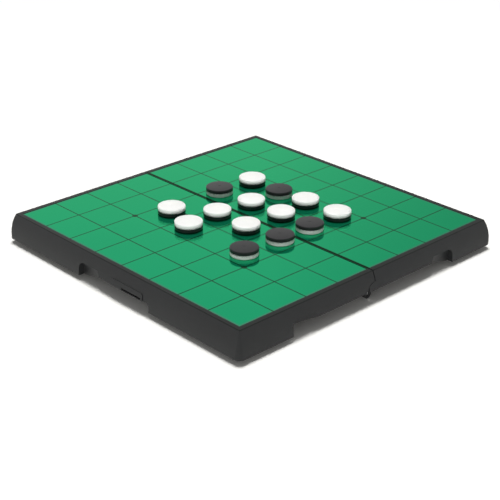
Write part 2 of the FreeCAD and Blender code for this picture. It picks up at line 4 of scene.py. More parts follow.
import bmesh
import bpy
from bpy.props import FloatProperty, FloatVectorProperty, IntProperty, PointerProperty
from mathutils import Matrix, Vector


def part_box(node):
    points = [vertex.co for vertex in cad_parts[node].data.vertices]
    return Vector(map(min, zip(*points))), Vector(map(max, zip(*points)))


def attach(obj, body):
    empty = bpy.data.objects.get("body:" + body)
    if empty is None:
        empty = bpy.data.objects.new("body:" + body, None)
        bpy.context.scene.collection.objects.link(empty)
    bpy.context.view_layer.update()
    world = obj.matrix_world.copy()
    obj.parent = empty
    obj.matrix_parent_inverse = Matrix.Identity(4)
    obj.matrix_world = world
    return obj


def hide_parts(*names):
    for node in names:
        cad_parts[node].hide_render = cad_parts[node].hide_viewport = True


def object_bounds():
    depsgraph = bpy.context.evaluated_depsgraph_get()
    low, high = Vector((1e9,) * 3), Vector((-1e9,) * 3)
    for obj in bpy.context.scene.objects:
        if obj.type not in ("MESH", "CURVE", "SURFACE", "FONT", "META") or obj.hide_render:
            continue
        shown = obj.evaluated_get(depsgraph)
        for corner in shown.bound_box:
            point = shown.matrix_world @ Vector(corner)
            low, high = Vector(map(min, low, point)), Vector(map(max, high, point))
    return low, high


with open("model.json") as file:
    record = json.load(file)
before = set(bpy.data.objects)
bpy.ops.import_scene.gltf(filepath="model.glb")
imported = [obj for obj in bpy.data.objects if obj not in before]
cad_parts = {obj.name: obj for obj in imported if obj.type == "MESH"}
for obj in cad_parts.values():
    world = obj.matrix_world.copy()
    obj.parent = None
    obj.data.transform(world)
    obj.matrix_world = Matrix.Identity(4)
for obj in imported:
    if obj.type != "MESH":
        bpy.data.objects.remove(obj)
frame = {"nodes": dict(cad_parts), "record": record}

bl_info = {
    "name": "Folding Reversi Board",
    "version": (1, 0, 0),
    "blender": (4, 5, 0),
    "location": "View3D > Sidebar > Reversi",
    "description": "Finishes a folding magnetic reversi board, its printed sheets and its discs",
    "category": "Object",
}

CAD_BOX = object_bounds()
MM = 0.001

# The halves and the ends of the board, each with the side of the middle where it lies
HALVES = {"front": -1, "back": 1}
ENDS = {"left": -1, "right": 1}

# Places and sizes that the frame gives, in metres
TABLE_LEVEL = CAD_BOX[0].z
RIM_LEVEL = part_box("case_front")[1].z
SHEET_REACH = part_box("playing_sheet_back")[1]
DISC_NAMES = sorted(name[:-len("_white")] for name in frame["nodes"] if name.endswith("_white"))
DISC_LOW, DISC_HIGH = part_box("disc_01_white")
DISC_RADIUS = (DISC_HIGH.x - DISC_LOW.x) / 2
DISC_HALF_THICKNESS = DISC_HIGH.z - DISC_LOW.z
PIN_LOW, PIN_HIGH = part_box("hinge_pin_left")
PIN_RADIUS = (PIN_HIGH.z - PIN_LOW.z) / 2

# Where the feet end and the finger gaps begin: X on the front and the back edge,
# and the length of a back foot along its end wall
EDGE_CUTS = {"left": -39.0 * MM, "right": 37.4 * MM}
BACK_FOOT_LENGTH = 45.0 * MM

# Scoops that have a web behind them: at these ends of a half's edge, and on these end walls
SCOOP_WEBS = {
    "front": (("left",), ()),
    "back": (("left", "right"), ("left", "right")),
}

# Sides of the whole circle from which a scoop's arc is cut
SCOOP_CIRCLE_STEPS = 360

# A web's lower edge rises with this power of the way along it, and no further from this
# share of the way on, so that the tip keeps some height
WEB_CURVE = 1.5
WEB_TIP = 0.97

# A gate mark's floor against its mouth, and how near an edge lies to a level that it is on
GATE_TAPER = 0.9
LEVEL_TOLERANCE = 0.001 * MM

# Depths below the rim top between which the wall's colour turns into the darker rim colour, which is
# painted shade
RIM_SHADE_BLEND = (0.6 * MM, 0.3 * MM)

# Painted highlight along the outer edges of the sheets: its width, and the share of it that is fully
# pale
SHEET_HIGHLIGHT_WIDTH = 2.2 * MM
SHEET_HIGHLIGHT_FULL = 0.15

# Where the dark strip of painted shade starts beside the middle of the fold
SEAM_SHADE_START = 0.42 * MM

# Green cast of the print's gloss
PRINT_GLINT = (0.12, 0.9, 0.5, 1.0)

# Colour sockets of a Mix node: its two inputs and its output
MIX_FIRST = 6
MIX_SECOND = 7
MIX_RESULT = 2

# Light that comes from all round
WORLD_LEVEL = 0.19

# Studio that a glossy surface mirrors: a white sweep, and above it the dimmer room.
# The sweep's end is given as sines of the elevations where it starts and stops fading.
SWEEP_END = (0.36, 0.70)
ROOM_LEVEL = 0.60

# Dark screen that stands beside the sweep, between these sums of a direction's X and Y
SCREEN_NEAR = (-0.02, 0.20)
SCREEN_FAR = (0.40, 0.80)
SCREEN_LEVEL = 0.60

# Floor: its side, the colour that is seen, and the distances from the board's middle
# between which it turns into the plain white sweep
FLOOR_SIZE = 12.0
FLOOR_WHITE = (1.0, 0.995, 0.96)
FLOOR_FADE = (0.35, 0.90)

# Name, place, width and height, and power of each lamp, in metres and watts
LAMPS = (
    ("key_lamp", (-0.17, 0.17, 2.38), (0.95, 0.95), 57.0),
    ("front_fill", (1.18, -1.56, 0.16), (2.40, 0.45), 25.0),
)

# Camera of the photo: place in metres, turn in degrees, sensor and lens in millimetres
CAMERA_PLACE = (0.6183, -0.5821, 0.3995)
CAMERA_TURN = (64.577, -0.109, 46.729)
CAMERA_SENSOR = 36.0
CAMERA_LENS = 91.27
CAMERA_CLIP_START = 0.01


def metres(label, text, value):
    """Length that a user may set."""
    return FloatProperty(
        name=label, description=text, default=value, min=0.0, subtype="DISTANCE", unit="LENGTH",
    )


def tint(label, text, value):
    """Colour that a user may set."""
    return FloatVectorProperty(
        name=label, description=text, default=value, size=3, min=0.0, max=1.0, subtype="COLOR",
    )


class ReversiSizes(bpy.types.PropertyGroup):
    """Sizes of the small forms that finish the board."""

    rim_round: metres("Disc rim round", "Radius on the outer rim of a disc", 0.5 * MM)
    parting_chamfer: metres("Parting chamfer", "Chamfer where a disc's two halves meet", 0.05 * MM)
    gate_radius: metres("Gate mark radius", "Radius of the round mark on a disc's face", 1.1 * MM)
    gate_depth: metres("Gate mark depth", "Depth of the round mark on a disc's face", 0.1 * MM)
    disc_steps: IntProperty(
        name="Disc steps", description="Sides of a disc's outline", default=96, min=24, max=256,
    )
    scoop_depth: metres("Scoop depth", "Depth of a finger scoop beside a foot", 4.4 * MM)
    scoop_length: metres("Scoop length", "Length of a finger scoop along the wall", 24.0 * MM)
    web_length: metres("Web length", "Length of the sloping web that backs a scoop", 21.0 * MM)
    web_thickness: metres("Web thickness", "Wall of the web that backs a scoop", 1.5 * MM)
    feet_level: metres("Feet level", "Height of the corner feet above the table", 3.7 * MM)
    gap_top: metres("Gap top", "Height of the finger gaps' upper edge above the table", 10.0 * MM)
    pin_chamfer: metres("Pin chamfer", "Chamfer on the ends of a hinge pin", 0.25 * MM)
    # The strip beside the fold is painted shade: a thin dark sheet where the groove between the halves
    # lies in shade
    seam_line_height: metres("Seam line height", "Thickness of the strip beside the fold", 0.05 * MM)


class ReversiColours(bpy.types.PropertyGroup):
    """Colours of the board's finishes."""

    case: tint("Case plastic", "Charcoal plastic of the grained walls", (0.0225, 0.0233, 0.0236))
    # The case rim colour is painted shade: it darkens the top of the case by the field, with a faint
    # green cast of the field's light
    rim: tint("Case rim", "Smoother, darker plastic round the playing field", (0.008, 0.010, 0.009))
    field: tint("Field green", "Green print of the playing field", (0.005, 0.328, 0.152))
    # The grid colour also colours the strip of painted shade beside the fold
    lines: tint("Grid lines", "Dark print of the grid", (0.004, 0.034, 0.014))
    # The sheet edge colour is a painted highlight: a paler line along the outer edges of the sheets
    edge: tint("Sheet edge", "Paler line along a sheet's rolled outer edge", (0.10, 0.22, 0.155))
    light_disc: tint("Light disc", "Warm white plastic of the discs", (0.97, 0.97, 0.87))
    dark_disc: tint("Dark disc", "Black plastic of the discs", (0.012, 0.012, 0.013))
    steel: tint("Pin steel", "Steel of the hinge pins", (0.52, 0.52, 0.53))
    magnet: tint("Magnet", "Sintered magnet inside each disc", (0.05, 0.05, 0.055))
    floor: tint("Floor", "Pale floor that the board stands on", (0.82, 0.82, 0.82))


def socket_in(group, kind, label, value):
    """Add an input to a node group with its default value."""
    item = group.interface.new_socket(name=label, in_out="INPUT", socket_type=kind)
    item.default_value = value


def socket_out(group, kind, label):
    """Add an output to a node group."""
    group.interface.new_socket(name=label, in_out="OUTPUT", socket_type=kind)


def add_node(tree, kind, **settings):
    """Add a node to a tree and set its options by name."""
    node = tree.nodes.new(kind)
    for key, value in settings.items():
        setattr(node, key, value)
    return node


def feed(tree, node, **inputs):
    """Set a node's inputs with a value or by a link from another node's output.

    An input is given by its name, with _ for each space, or by i and its number.
    """
    for key, value in inputs.items():
        socket = node.inputs[int(key[1:])] if key[1:].isdigit() else node.inputs[key.replace("_", " ")]
        if isinstance(value, bpy.types.NodeSocket):
            tree.links.new(value, socket)
        else:
            socket.default_value = value
    return node


def maths(tree, operation, first, second):
    """Output of a Math node."""
    node = add_node(tree, "ShaderNodeMath", operation=operation)
    feed(tree, node, i0=first, i1=second)
    return node.outputs[0]


def stretch(tree, value, old, new=(0.0, 1.0)):
    """Output of a Map Range node that takes the old range to the new one."""
    node = add_node(tree, "ShaderNodeMapRange")
    feed(tree, node, Value=value, From_Min=old[0], From_Max=old[1], To_Min=new[0], To_Max=new[1])
    return node.outputs["Result"]


def noise(tree, vector, scale, detail, roughness=0.5):
    """Factor of a Noise Texture."""
    node = add_node(tree, "ShaderNodeTexNoise")
    feed(tree, node, Vector=vector, Scale=scale, Detail=detail, Roughness=roughness)
    return node.outputs[0]


def apart(tree, vector):
    """Outputs of a node that takes a vector apart into X, Y and Z."""
    return feed(tree, add_node(tree, "ShaderNodeSeparateXYZ"), Vector=vector).outputs


def mixed(tree, mask, first, second):
    """Colour that turns from the first to the second as the mask rises."""
    node = add_node(tree, "ShaderNodeMix", data_type="RGBA")
    tree.links.new(mask, node.inputs["Factor"])
    for socket, colour in ((node.inputs[MIX_FIRST], first), (node.inputs[MIX_SECOND], second)):
        if isinstance(colour, bpy.types.NodeSocket):
            tree.links.new(colour, socket)
        else:
            socket.default_value = [*colour, 1.0]
    return node.outputs[MIX_RESULT]


def varied(tree, colour, mask, darker, lighter):
    """The colour, from its darker to its lighter share as the mask rises."""
    low = [channel * darker for channel in colour]
    high = [min(1.0, channel * lighter) for channel in colour]
    return mixed(tree, mask, low, high)


def bumped(tree, height, strength, distance):
    """Normal of a Bump node."""
    node = add_node(tree, "ShaderNodeBump")
    feed(tree, node, Height=height, Strength=strength, Distance=distance)
    return node.outputs[0]


def moulded_grain_group():
    """Fine spark-eroded grain of a mould: a height, and a mottle for the colour."""
    group = bpy.data.node_groups.new("Moulded Grain", "ShaderNodeTree")
    socket_in(group, "NodeSocketVector", "Vector", (0.0, 0.0, 0.0))
    socket_in(group, "NodeSocketFloat", "Grain Scale", 1800.0)
    socket_out(group, "NodeSocketFloat", "Height")
    socket_out(group, "NodeSocketFloat", "Mottle")
    source = group.nodes.new("NodeGroupInput")
    target = group.nodes.new("NodeGroupOutput")
    place = source.outputs["Vector"]
    pits = add_node(group, "ShaderNodeTexVoronoi", feature="SMOOTH_F1")
    feed(group, pits, Vector=place, Scale=source.outputs["Grain Scale"])
    soft_scale = maths(group, "MULTIPLY", source.outputs["Grain Scale"], 0.55)
    soft = noise(group, place, scale=soft_scale, detail=3.0, roughness=0.6)
    mottle = noise(group, place, scale=60.0, detail=6.0, roughness=0.65)
    group.links.new(maths(group, "ADD", pits.outputs["Distance"], soft), target.inputs["Height"])
    group.links.new(mottle, target.inputs["Mottle"])
    return group


def handling_group():
    """Marks of handling in the roughness: broad smudges and fine hairline scratches."""
    group = bpy.data.node_groups.new("Handling Marks", "ShaderNodeTree")
    socket_in(group, "NodeSocketVector", "Vector", (0.0, 0.0, 0.0))
    socket_in(group, "NodeSocketFloat", "Base Roughness", 0.4)
    socket_in(group, "NodeSocketFloat", "Smudge", 0.1)
    socket_in(group, "NodeSocketFloat", "Scratch", 0.1)
    socket_out(group, "NodeSocketFloat", "Roughness")
    source = group.nodes.new("NodeGroupInput")
    target = group.nodes.new("NodeGroupOutput")
    place = source.outputs["Vector"]
    smudges = stretch(group, noise(group, place, scale=14.0, detail=5.0, roughness=0.6), (0.35, 0.7))
    turned = add_node(group, "ShaderNodeMapping")
    feed(group, turned, Vector=place, Rotation=(0.0, 0.0, 0.6), Scale=(900.0, 22.0, 900.0))
    hairs = stretch(group, noise(group, turned.outputs[0], scale=1.0, detail=2.0), (0.68, 0.74))
    patches = stretch(group, noise(group, place, scale=25.0, detail=2.0), (0.45, 0.65))
    scratches = maths(group, "MULTIPLY", hairs, patches)
    smudged = maths(group, "MULTIPLY", smudges, source.outputs["Smudge"])
    scratched = maths(group, "MULTIPLY", scratches, source.outputs["Scratch"])
    marked = maths(group, "ADD", smudged, scratched)
    total = maths(group, "ADD", source.outputs["Base Roughness"], marked)
    group.links.new(total, target.inputs["Roughness"])
    return group


# Node groups that several materials place, each made once
GROUP_MAKERS = {"Moulded Grain": moulded_grain_group, "Handling Marks": handling_group}


def place_group(tree, label, **inputs):
    """Place a shared node group in a material with its own values."""
    group = bpy.data.node_groups.get(label) or GROUP_MAKERS[label]()
    return feed(tree, add_node(tree, "ShaderNodeGroup", node_tree=group), **inputs)


def blank_material(label):
    """Material with only a Principled BSDF on its output, and the object coordinates."""
    material = bpy.data.materials.new(label)
    material.use_nodes = True
    tree = material.node_tree
    tree.nodes.clear()
    output = add_node(tree, "ShaderNodeOutputMaterial")
    shader = add_node(tree, "ShaderNodeBsdfPrincipled")
    tree.links.new(shader.outputs[0], output.inputs[0])
    place = add_node(tree, "ShaderNodeTexCoord").outputs["Object"]
    return material, tree, shader, place


def case_material(colours):
    """Satin charcoal plastic: grained walls, light handling marks, and a darker, faintly green band of
    painted shade round the top by the field.
    """
    material, tree, shader, place = blank_material("case_plastic")
    blend = [RIM_LEVEL - depth for depth in RIM_SHADE_BLEND]
    # Mask of the painted shade on the top of the case, by height
    rim = stretch(tree, apart(tree, place)["Z"], blend)
    grain = place_group(tree, "Moulded Grain", Vector=place, Grain_Scale=1500.0)
    marks = place_group(
        tree, "Handling Marks", Vector=place, Base_Roughness=0.36, Smudge=0.08, Scratch=-0.10,
    )
    wall = varied(tree, colours.case, grain.outputs["Mottle"], darker=0.88, lighter=1.14)
    feed(
        tree, shader,
        Base_Color=mixed(tree, rim, wall, colours.rim),
        Roughness=marks.outputs["Roughness"],
        Normal=bumped(tree, grain.outputs["Height"], strength=0.35, distance=0.06 * MM),
        Specular_IOR_Level=0.15,
    )
    return material


def sheet_edge_highlight_mask(tree, place):
    """Mask of the painted highlight, which rises at the outer edges of the two sheets."""
    axes = apart(tree, place)
    masks = []
    for axis, reach in (("X", SHEET_REACH.x), ("Y", SHEET_REACH.y)):
        distance = maths(tree, "ABSOLUTE", axes[axis], 0.0)
        fade = (reach - SHEET_HIGHLIGHT_WIDTH, reach - SHEET_HIGHLIGHT_FULL * SHEET_HIGHLIGHT_WIDTH)
        masks.append(stretch(tree, distance, fade))
    return maths(tree, "MAXIMUM", *masks)


def sheet_material(label, colour, edge_highlight_colour, metallic, gloss, lacquer):
    """Glossy print on steel sheet: faint waves in the gloss, wiped smudges, and a paler painted
    highlight along its outer edge.
    """
    material, tree, shader, place = blank_material(label)
    marks = place_group(
        tree, "Handling Marks", Vector=place, Base_Roughness=0.05, Smudge=0.04, Scratch=0.05,
    )
    peel = noise(tree, place, scale=420.0, detail=2.0)
    waves = noise(tree, place, scale=22.0, detail=1.0, roughness=0.4)
    height = maths(tree, "ADD", maths(tree, "MULTIPLY", peel, 0.06), waves)
    cloud = noise(tree, place, scale=9.0, detail=4.0, roughness=0.55)
    print_colour = varied(tree, colour, cloud, darker=0.95, lighter=1.05)
    # The sheet's outer edges get a paler painted highlight
    feed(
        tree, shader,
        Base_Color=mixed(tree, sheet_edge_highlight_mask(tree, place), print_colour, edge_highlight_colour),
        Roughness=marks.outputs["Roughness"],
        Normal=bumped(tree, height, strength=0.25, distance=0.2 * MM),
        Metallic=metallic,
        Specular_IOR_Level=gloss,
        Specular_Tint=PRINT_GLINT,
        Coat_Weight=lacquer,
        Coat_Roughness=0.05,
    )
    return material


def disc_material(label, colour, roughness, glow):
    """Smooth moulded plastic of a disc half, with faint mottling, fine wear and some translucency."""
    material, tree, shader, place = blank_material(label)
    grain = place_group(tree, "Moulded Grain", Vector=place, Grain_Scale=2600.0)
    marks = place_group(
        tree, "Handling Marks", Vector=place, Base_Roughness=roughness, Smudge=0.08, Scratch=0.12,
    )
    feed(
        tree, shader,
        Base_Color=varied(tree, colour, grain.outputs["Mottle"], darker=0.97, lighter=1.03),
        Roughness=marks.outputs["Roughness"],
        Normal=bumped(tree, grain.outputs["Height"], strength=0.15, distance=0.03 * MM),
        Specular_IOR_Level=0.33,
        Subsurface_Weight=glow,
        Subsurface_Radius=(1.0, 1.0, 1.0),
        Subsurface_Scale=7.0 * MM,
    )
    return material


def steel_material(colours):
    """Drawn steel with fine lines round the pin."""
    material, tree, shader, place = blank_material("pin_steel")
    lines = add_node(tree, "ShaderNodeMapping")
    feed(tree, lines, Vector=place, Scale=(9000.0, 60.0, 60.0))
    drawn = noise(tree, lines.outputs[0], scale=1.0, detail=3.0, roughness=0.6)
    feed(
        tree, shader,
        Base_Color=varied(tree, colours.steel, drawn, darker=0.85, lighter=1.1),
        Roughness=stretch(tree, drawn, (0.3, 0.7), (0.22, 0.38)),
        Normal=bumped(tree, drawn, strength=0.2, distance=0.03 * MM),
        Metallic=1.0,
    )
    return material


def magnet_material(colours):
    """Dull sintered magnet with a sandy surface."""
    material, tree, shader, place = blank_material("magnet")
    grains = noise(tree, place, scale=2400.0, detail=4.0, roughness=0.7)
    feed(
        tree, shader,
        Base_Color=varied(tree, colours.magnet, grains, darker=0.8, lighter=1.25),
        Roughness=stretch(tree, grains, (0.3, 0.7), (0.5, 0.7)),
        Normal=bumped(tree, grains, strength=0.4, distance=0.05 * MM),
        Metallic=0.6,
    )
    return material


def dress(node_name, material):
    """Give a CAD node its finish."""
    item = frame["nodes"][node_name]
    if not item.data.materials:
        item.data.materials.append(material)
    for slot in item.material_slots:
        slot.material = material


def deselect_all():
    """Nothing selected, so that an operator acts on the new piece alone."""
    for item in list(bpy.context.selected_objects):
        item.select_set(False)


def pick_edges(wanted):
    """In edit mode, select just the edges for which wanted(edge) is true."""
    data = bpy.context.edit_object.data
    form = bmesh.from_edit_mesh(data)
    bpy.ops.mesh.select_all(action="DESELECT")
    bpy.context.tool_settings.mesh_select_mode = (False, True, False)
    for edge in form.edges:
        if wanted(edge):
            edge.select_set(True)
    bmesh.update_edit_mesh(data)


def pick_faces(wanted):
    """In edit mode, select just the faces for which wanted(face) is true."""
    data = bpy.context.edit_object.data
    form = bmesh.from_edit_mesh(data)
    bpy.ops.mesh.select_all(action="DESELECT")
    bpy.context.tool_settings.mesh_select_mode = (False, False, True)
    for face in form.faces:
        if wanted(face):
            face.select_set(True)
    bmesh.update_edit_mesh(data)


def lies_at(edge, level):
    """Whether an edge lies level at a height."""
    return all(abs(corner.co.z - level) < LEVEL_TOLERANCE for corner in edge.verts)


def rim_reach(edge):
    """How far the nearer corner of an edge lies from the upright axis."""
    return min(corner.co.to_2d().length for corner in edge.verts)


def smooth_below(degrees):
    """Shade the new piece smooth, apart from its edges that are sharper than this."""
    bpy.ops.object.shade_smooth_by_angle(angle=math.radians(degrees))


def disc_half_pattern(label, sizes, material):
    """One half of a disc, modelled on the origin with its face up and its parting line at zero."""
    top = DISC_HALF_THICKNESS
    round_start = DISC_RADIUS - sizes.rim_round
    deselect_all()
    bpy.ops.mesh.primitive_circle_add(
        vertices=sizes.disc_steps, radius=DISC_RADIUS, fill_type="NGON", location=(0, 0, 0),
    )
    pattern = bpy.context.object
    pattern.name = label
    bpy.ops.object.mode_set(mode="EDIT")
    bpy.ops.mesh.extrude_region_move(TRANSFORM_OT_translate={"value": (0, 0, top)})
    pick_faces(lambda face: face.normal.z > 0.9 and face.calc_center_median().z > top / 2)
    bpy.ops.mesh.inset(thickness=DISC_RADIUS - sizes.gate_radius, depth=0.0)
    bpy.ops.mesh.extrude_region_move(TRANSFORM_OT_translate={"value": (0, 0, -sizes.gate_depth)})
    bpy.ops.transform.resize(value=(GATE_TAPER, GATE_TAPER, 1.0), center_override=(0, 0, top))
    pick_edges(lambda edge: lies_at(edge, top) and rim_reach(edge) > round_start)
    bpy.ops.mesh.bevel(offset=sizes.rim_round, segments=6, profile=0.5, affect="EDGES")
    pick_edges(lambda edge: lies_at(edge, 0.0))
    bpy.ops.mesh.bevel(offset=sizes.parting_chamfer, segments=1, affect="EDGES")
    bpy.ops.mesh.select_all(action="SELECT")
    bpy.ops.mesh.normals_make_consistent(inside=False)
    bpy.ops.object.mode_set(mode="OBJECT")
    smooth_below(35)
    pattern.data.materials.append(material)
    return pattern


def scoop_web_pattern(sizes, material):
    """Dished web of one scoop: the foot at X zero, the gap towards +X, the wall's face at Y zero."""
    radius = (sizes.scoop_length ** 2 + sizes.scoop_depth ** 2) / (2 * sizes.scoop_depth)
    step = 2 * math.pi * radius / SCOOP_CIRCLE_STEPS
    rise = sizes.gap_top - sizes.feet_level
    deselect_all()
    bpy.ops.mesh.primitive_circle_add(
        vertices=SCOOP_CIRCLE_STEPS, radius=radius, fill_type="NOTHING",
        location=(0, radius - sizes.scoop_depth, sizes.feet_level),
    )
    pattern = bpy.context.object
    pattern.name = "scoop_web_pattern"
    bpy.ops.object.transform_apply(location=True, rotation=True, scale=True)

    # Of the circle only the scoop's arc is kept
    bpy.ops.object.mode_set(mode="EDIT")
    form = bmesh.from_edit_mesh(pattern.data)
    for corner in form.verts:
        corner.select_set(corner.co.y > 0 or not -step < corner.co.x < sizes.web_length + step)
    bpy.ops.mesh.delete(type="VERT")

    # The arc is drawn up to the gap's upper edge, and its lower edge rises away from the foot
    bpy.ops.mesh.select_all(action="SELECT")
    bpy.ops.mesh.extrude_region_move(TRANSFORM_OT_translate={"value": (0, 0, rise)})
    form = bmesh.from_edit_mesh(pattern.data)
    for corner in form.verts:
        if corner.co.z < sizes.feet_level + rise / 2:
            share = min(max(corner.co.x / sizes.web_length, 0.0), WEB_TIP)
            corner.co.z += share ** WEB_CURVE * rise
    bmesh.update_edit_mesh(pattern.data)
    bpy.ops.object.mode_set(mode="OBJECT")

    # The wall grows inwards from the dished face
    solidify = pattern.modifiers.new("wall", "SOLIDIFY")
    solidify.thickness = sizes.web_thickness
    solidify.offset = -1.0
    bpy.ops.object.modifier_apply(modifier=solidify.name)
    bpy.ops.object.mode_set(mode="EDIT")
    bpy.ops.mesh.select_all(action="SELECT")
    bpy.ops.mesh.normals_make_consistent(inside=False)
    bpy.ops.object.mode_set(mode="OBJECT")
    smooth_below(35)
    pattern.data.materials.append(material)
    return pattern


def scoop_places():
    """Name, half, place, direction towards the gap and outward direction of each web."""
    places = []
    for half, (edge_ends, wall_ends) in SCOOP_WEBS.items():
        side = HALVES[half]
        edge = side * CAD_BOX[1].y
        foot_end = side * (CAD_BOX[1].y - BACK_FOOT_LENGTH)
        for end in edge_ends:
            place = Vector((EDGE_CUTS[end], edge, 0))
            places.append((f"{half}_edge_{end}", half, place, (-ENDS[end], 0, 0), (0, side, 0)))
        for end in wall_ends:
            place = Vector((ENDS[end] * CAD_BOX[1].x, foot_end, 0))
            places.append((f"{half}_end_{end}", half, place, (0, -side, 0), (ENDS[end], 0, 0)))
    return places


def copy_piece(pattern, name, matrix):
    """Copy of a pattern with its own mesh, its place in the mesh."""
    piece = bpy.data.objects.new(name, pattern.data.copy())
    piece.data.name = name
    piece.data.transform(matrix)
    bpy.context.scene.collection.objects.link(piece)
    return piece


def body_holding(node_name):
    """Name of the body that a CAD node rides on."""
    bodies = frame["record"]["behaviour"]["bodies"]
    return next(body for body, members in bodies.items() if node_name in members)


class REVERSI_OT_cases(bpy.types.Operator):
    """Give both half cases their moulded plastic."""

    bl_idname = "reversi.cases"
    bl_label = "Half cases"

    def execute(self, context):
        material = case_material(context.scene.reversi_colours)
        for half in HALVES:
            dress(f"case_{half}", material)
        return {"FINISHED"}


class REVERSI_OT_scoops(bpy.types.Operator):
    """Model the sloping web behind a finger scoop once, and set a copy at each scoop that has one."""

    bl_idname = "reversi.scoops"
    bl_label = "Scoop webs"

    def execute(self, context):
        plastic = frame["nodes"]["case_front"].data.materials[0]
        pattern = scoop_web_pattern(context.scene.reversi_sizes, plastic)
        for name, half, place, along, outwards in scoop_places():
            turn = Matrix((along, outwards, (0, 0, 1))).transposed()
            piece = copy_piece(pattern, f"scoop_web_{name}", Matrix.Translation(place) @ turn.to_4x4())
            if turn.determinant() < 0:
                piece.data.flip_normals()
            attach(piece, f"{half}_half")
        bpy.data.objects.remove(pattern)
        return {"FINISHED"}


class REVERSI_OT_sheets(bpy.types.Operator):
    """Give the playing sheets their glossy green, the grid its dark print, and the fold a dark strip
    of painted shade.
    """

    bl_idname = "reversi.sheets"
    bl_label = "Playing sheets"

    def execute(self, context):
        colours = context.scene.reversi_colours
        # The green sheet's paler outer edge is a painted highlight
        green = sheet_material(
            "field_green", colours.field, colours.edge, metallic=0.72, gloss=0.20, lacquer=0.06,
        )
        dark = sheet_material(
            "field_print", colours.lines, colours.lines, metallic=0.3, gloss=0.10, lacquer=0.0,
        )
        for half in HALVES:
            dress(f"playing_sheet_{half}", green)
            dress(f"grid_print_{half}", dark)
            # A dark strip of painted shade goes on the rim beside the fold
            self.seam_shade_strip(half, context.scene.reversi_sizes.seam_line_height, dark)
        return {"FINISHED"}

    def seam_shade_strip(self, half, height, material):
        """Dark strip of painted shade on the narrow rim beside the fold, in the grid's print colour.
        """
        low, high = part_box(f"playing_sheet_{half}")
        sheet_start = min(abs(low.y), abs(high.y))
        middle = HALVES[half] * (SEAM_SHADE_START + sheet_start) / 2
        deselect_all()
        bpy.ops.mesh.primitive_cube_add(size=1.0, location=(0, middle, RIM_LEVEL + height / 2))
        line = bpy.context.object
        line.name = f"seam_line_{half}"
        line.scale = (high.x - low.x, sheet_start - SEAM_SHADE_START, height)
        bpy.ops.object.transform_apply(location=True, rotation=True, scale=True)
        bpy.ops.object.mode_set(mode="EDIT")
        pick_edges(lambda edge: lies_at(edge, RIM_LEVEL + height))
        bpy.ops.mesh.bevel(offset=0.4 * height, segments=2, affect="EDGES")
        bpy.ops.object.mode_set(mode="OBJECT")
        line.data.materials.append(material)
        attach(line, f"{half}_half")


class REVERSI_OT_discs(bpy.types.Operator):
    """Model the two halves of a disc once, and set a copy on each disc in play."""

    bl_idname = "reversi.discs"
    bl_label = "Discs"

    def execute(self, context):
        colours = context.scene.reversi_colours
        sizes = context.scene.reversi_sizes
        light = disc_material("disc_white", colours.light_disc, roughness=0.3, glow=0.9)
        dark = disc_material("disc_black", colours.dark_disc, roughness=0.38, glow=0.0)
        patterns = {
            "white": disc_half_pattern("light_half_pattern", sizes, light),
            "black": disc_half_pattern("dark_half_pattern", sizes, dark),
        }
        for name in DISC_NAMES:
            for tone, other in (("white", "black"), ("black", "white")):
                node = f"{name}_{tone}"
                low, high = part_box(node)
                faces_up = low.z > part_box(f"{name}_{other}")[0].z
                centre = (low + high) / 2
                centre.z = low.z if faces_up else high.z
                turn = Matrix.Identity(4) if faces_up else Matrix.Rotation(math.pi, 4, "X")
                piece = copy_piece(patterns[tone], f"{node}_half", Matrix.Translation(centre) @ turn)
                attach(piece, body_holding(node))
                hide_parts(node)
        for pattern in patterns.values():
            bpy.data.objects.remove(pattern)
        magnet = magnet_material(colours)
        for name in DISC_NAMES:
            dress(f"{name}_magnet", magnet)
        return {"FINISHED"}


class REVERSI_OT_pins(bpy.types.Operator):
    """Model the steel hinge pins with chamfered ends."""

    bl_idname = "reversi.pins"
    bl_label = "Hinge pins"

    def execute(self, context):
        material = steel_material(context.scene.reversi_colours)
        for end in ENDS:
            self.pin(end, context.scene.reversi_sizes.pin_chamfer, material)
        return {"FINISHED"}

    def pin(self, end, chamfer, material):
        """Pin that lies along X at one end of the fold."""
        node = f"hinge_pin_{end}"
        low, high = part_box(node)
        deselect_all()
        bpy.ops.mesh.primitive_cylinder_add(
            vertices=48, radius=PIN_RADIUS, depth=high.x - low.x,
            location=(low + high) / 2, rotation=(0, math.pi / 2, 0),
        )
        pin = bpy.context.object
        pin.name = f"drawn_pin_{end}"
        bpy.ops.object.transform_apply(location=True, rotation=True, scale=True)
        bpy.ops.object.mode_set(mode="EDIT")
        pick_edges(lambda edge: len({round(corner.co.x, 6) for corner in edge.verts}) == 1)
        bpy.ops.mesh.bevel(offset=chamfer, segments=2, affect="EDGES")
        bpy.ops.object.mode_set(mode="OBJECT")
        smooth_below(30)
        pin.data.materials.append(material)
        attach(pin, body_holding(node))
        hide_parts(node)


def floor_material(colours):
    """Pale floor that a camera or a mirror sees as white where no shadow falls."""
    material, tree, shader, place = blank_material("studio_floor")
    path = add_node(tree, "ShaderNodeLightPath").outputs
    seen = maths(tree, "MAXIMUM", path["Is Camera Ray"], path["Is Glossy Ray"])
    seen = maths(tree, "MAXIMUM", seen, path["Is Transmission Ray"])
    away = add_node(tree, "ShaderNodeVectorMath", operation="LENGTH")
    feed(tree, away, i0=place)
    sweep = maths(tree, "MULTIPLY", seen, stretch(tree, away.outputs["Value"], FLOOR_FADE))
    lit = mixed(tree, seen, colours.floor, FLOOR_WHITE)
    feed(
        tree, shader,
        Base_Color=mixed(tree, sweep, lit, (0.0, 0.0, 0.0)),
        Emission_Color=(1.0, 1.0, 1.0, 1.0),
        Emission_Strength=sweep,
        Roughness=0.9,
        Specular_IOR_Level=0.0,
    )
    return material


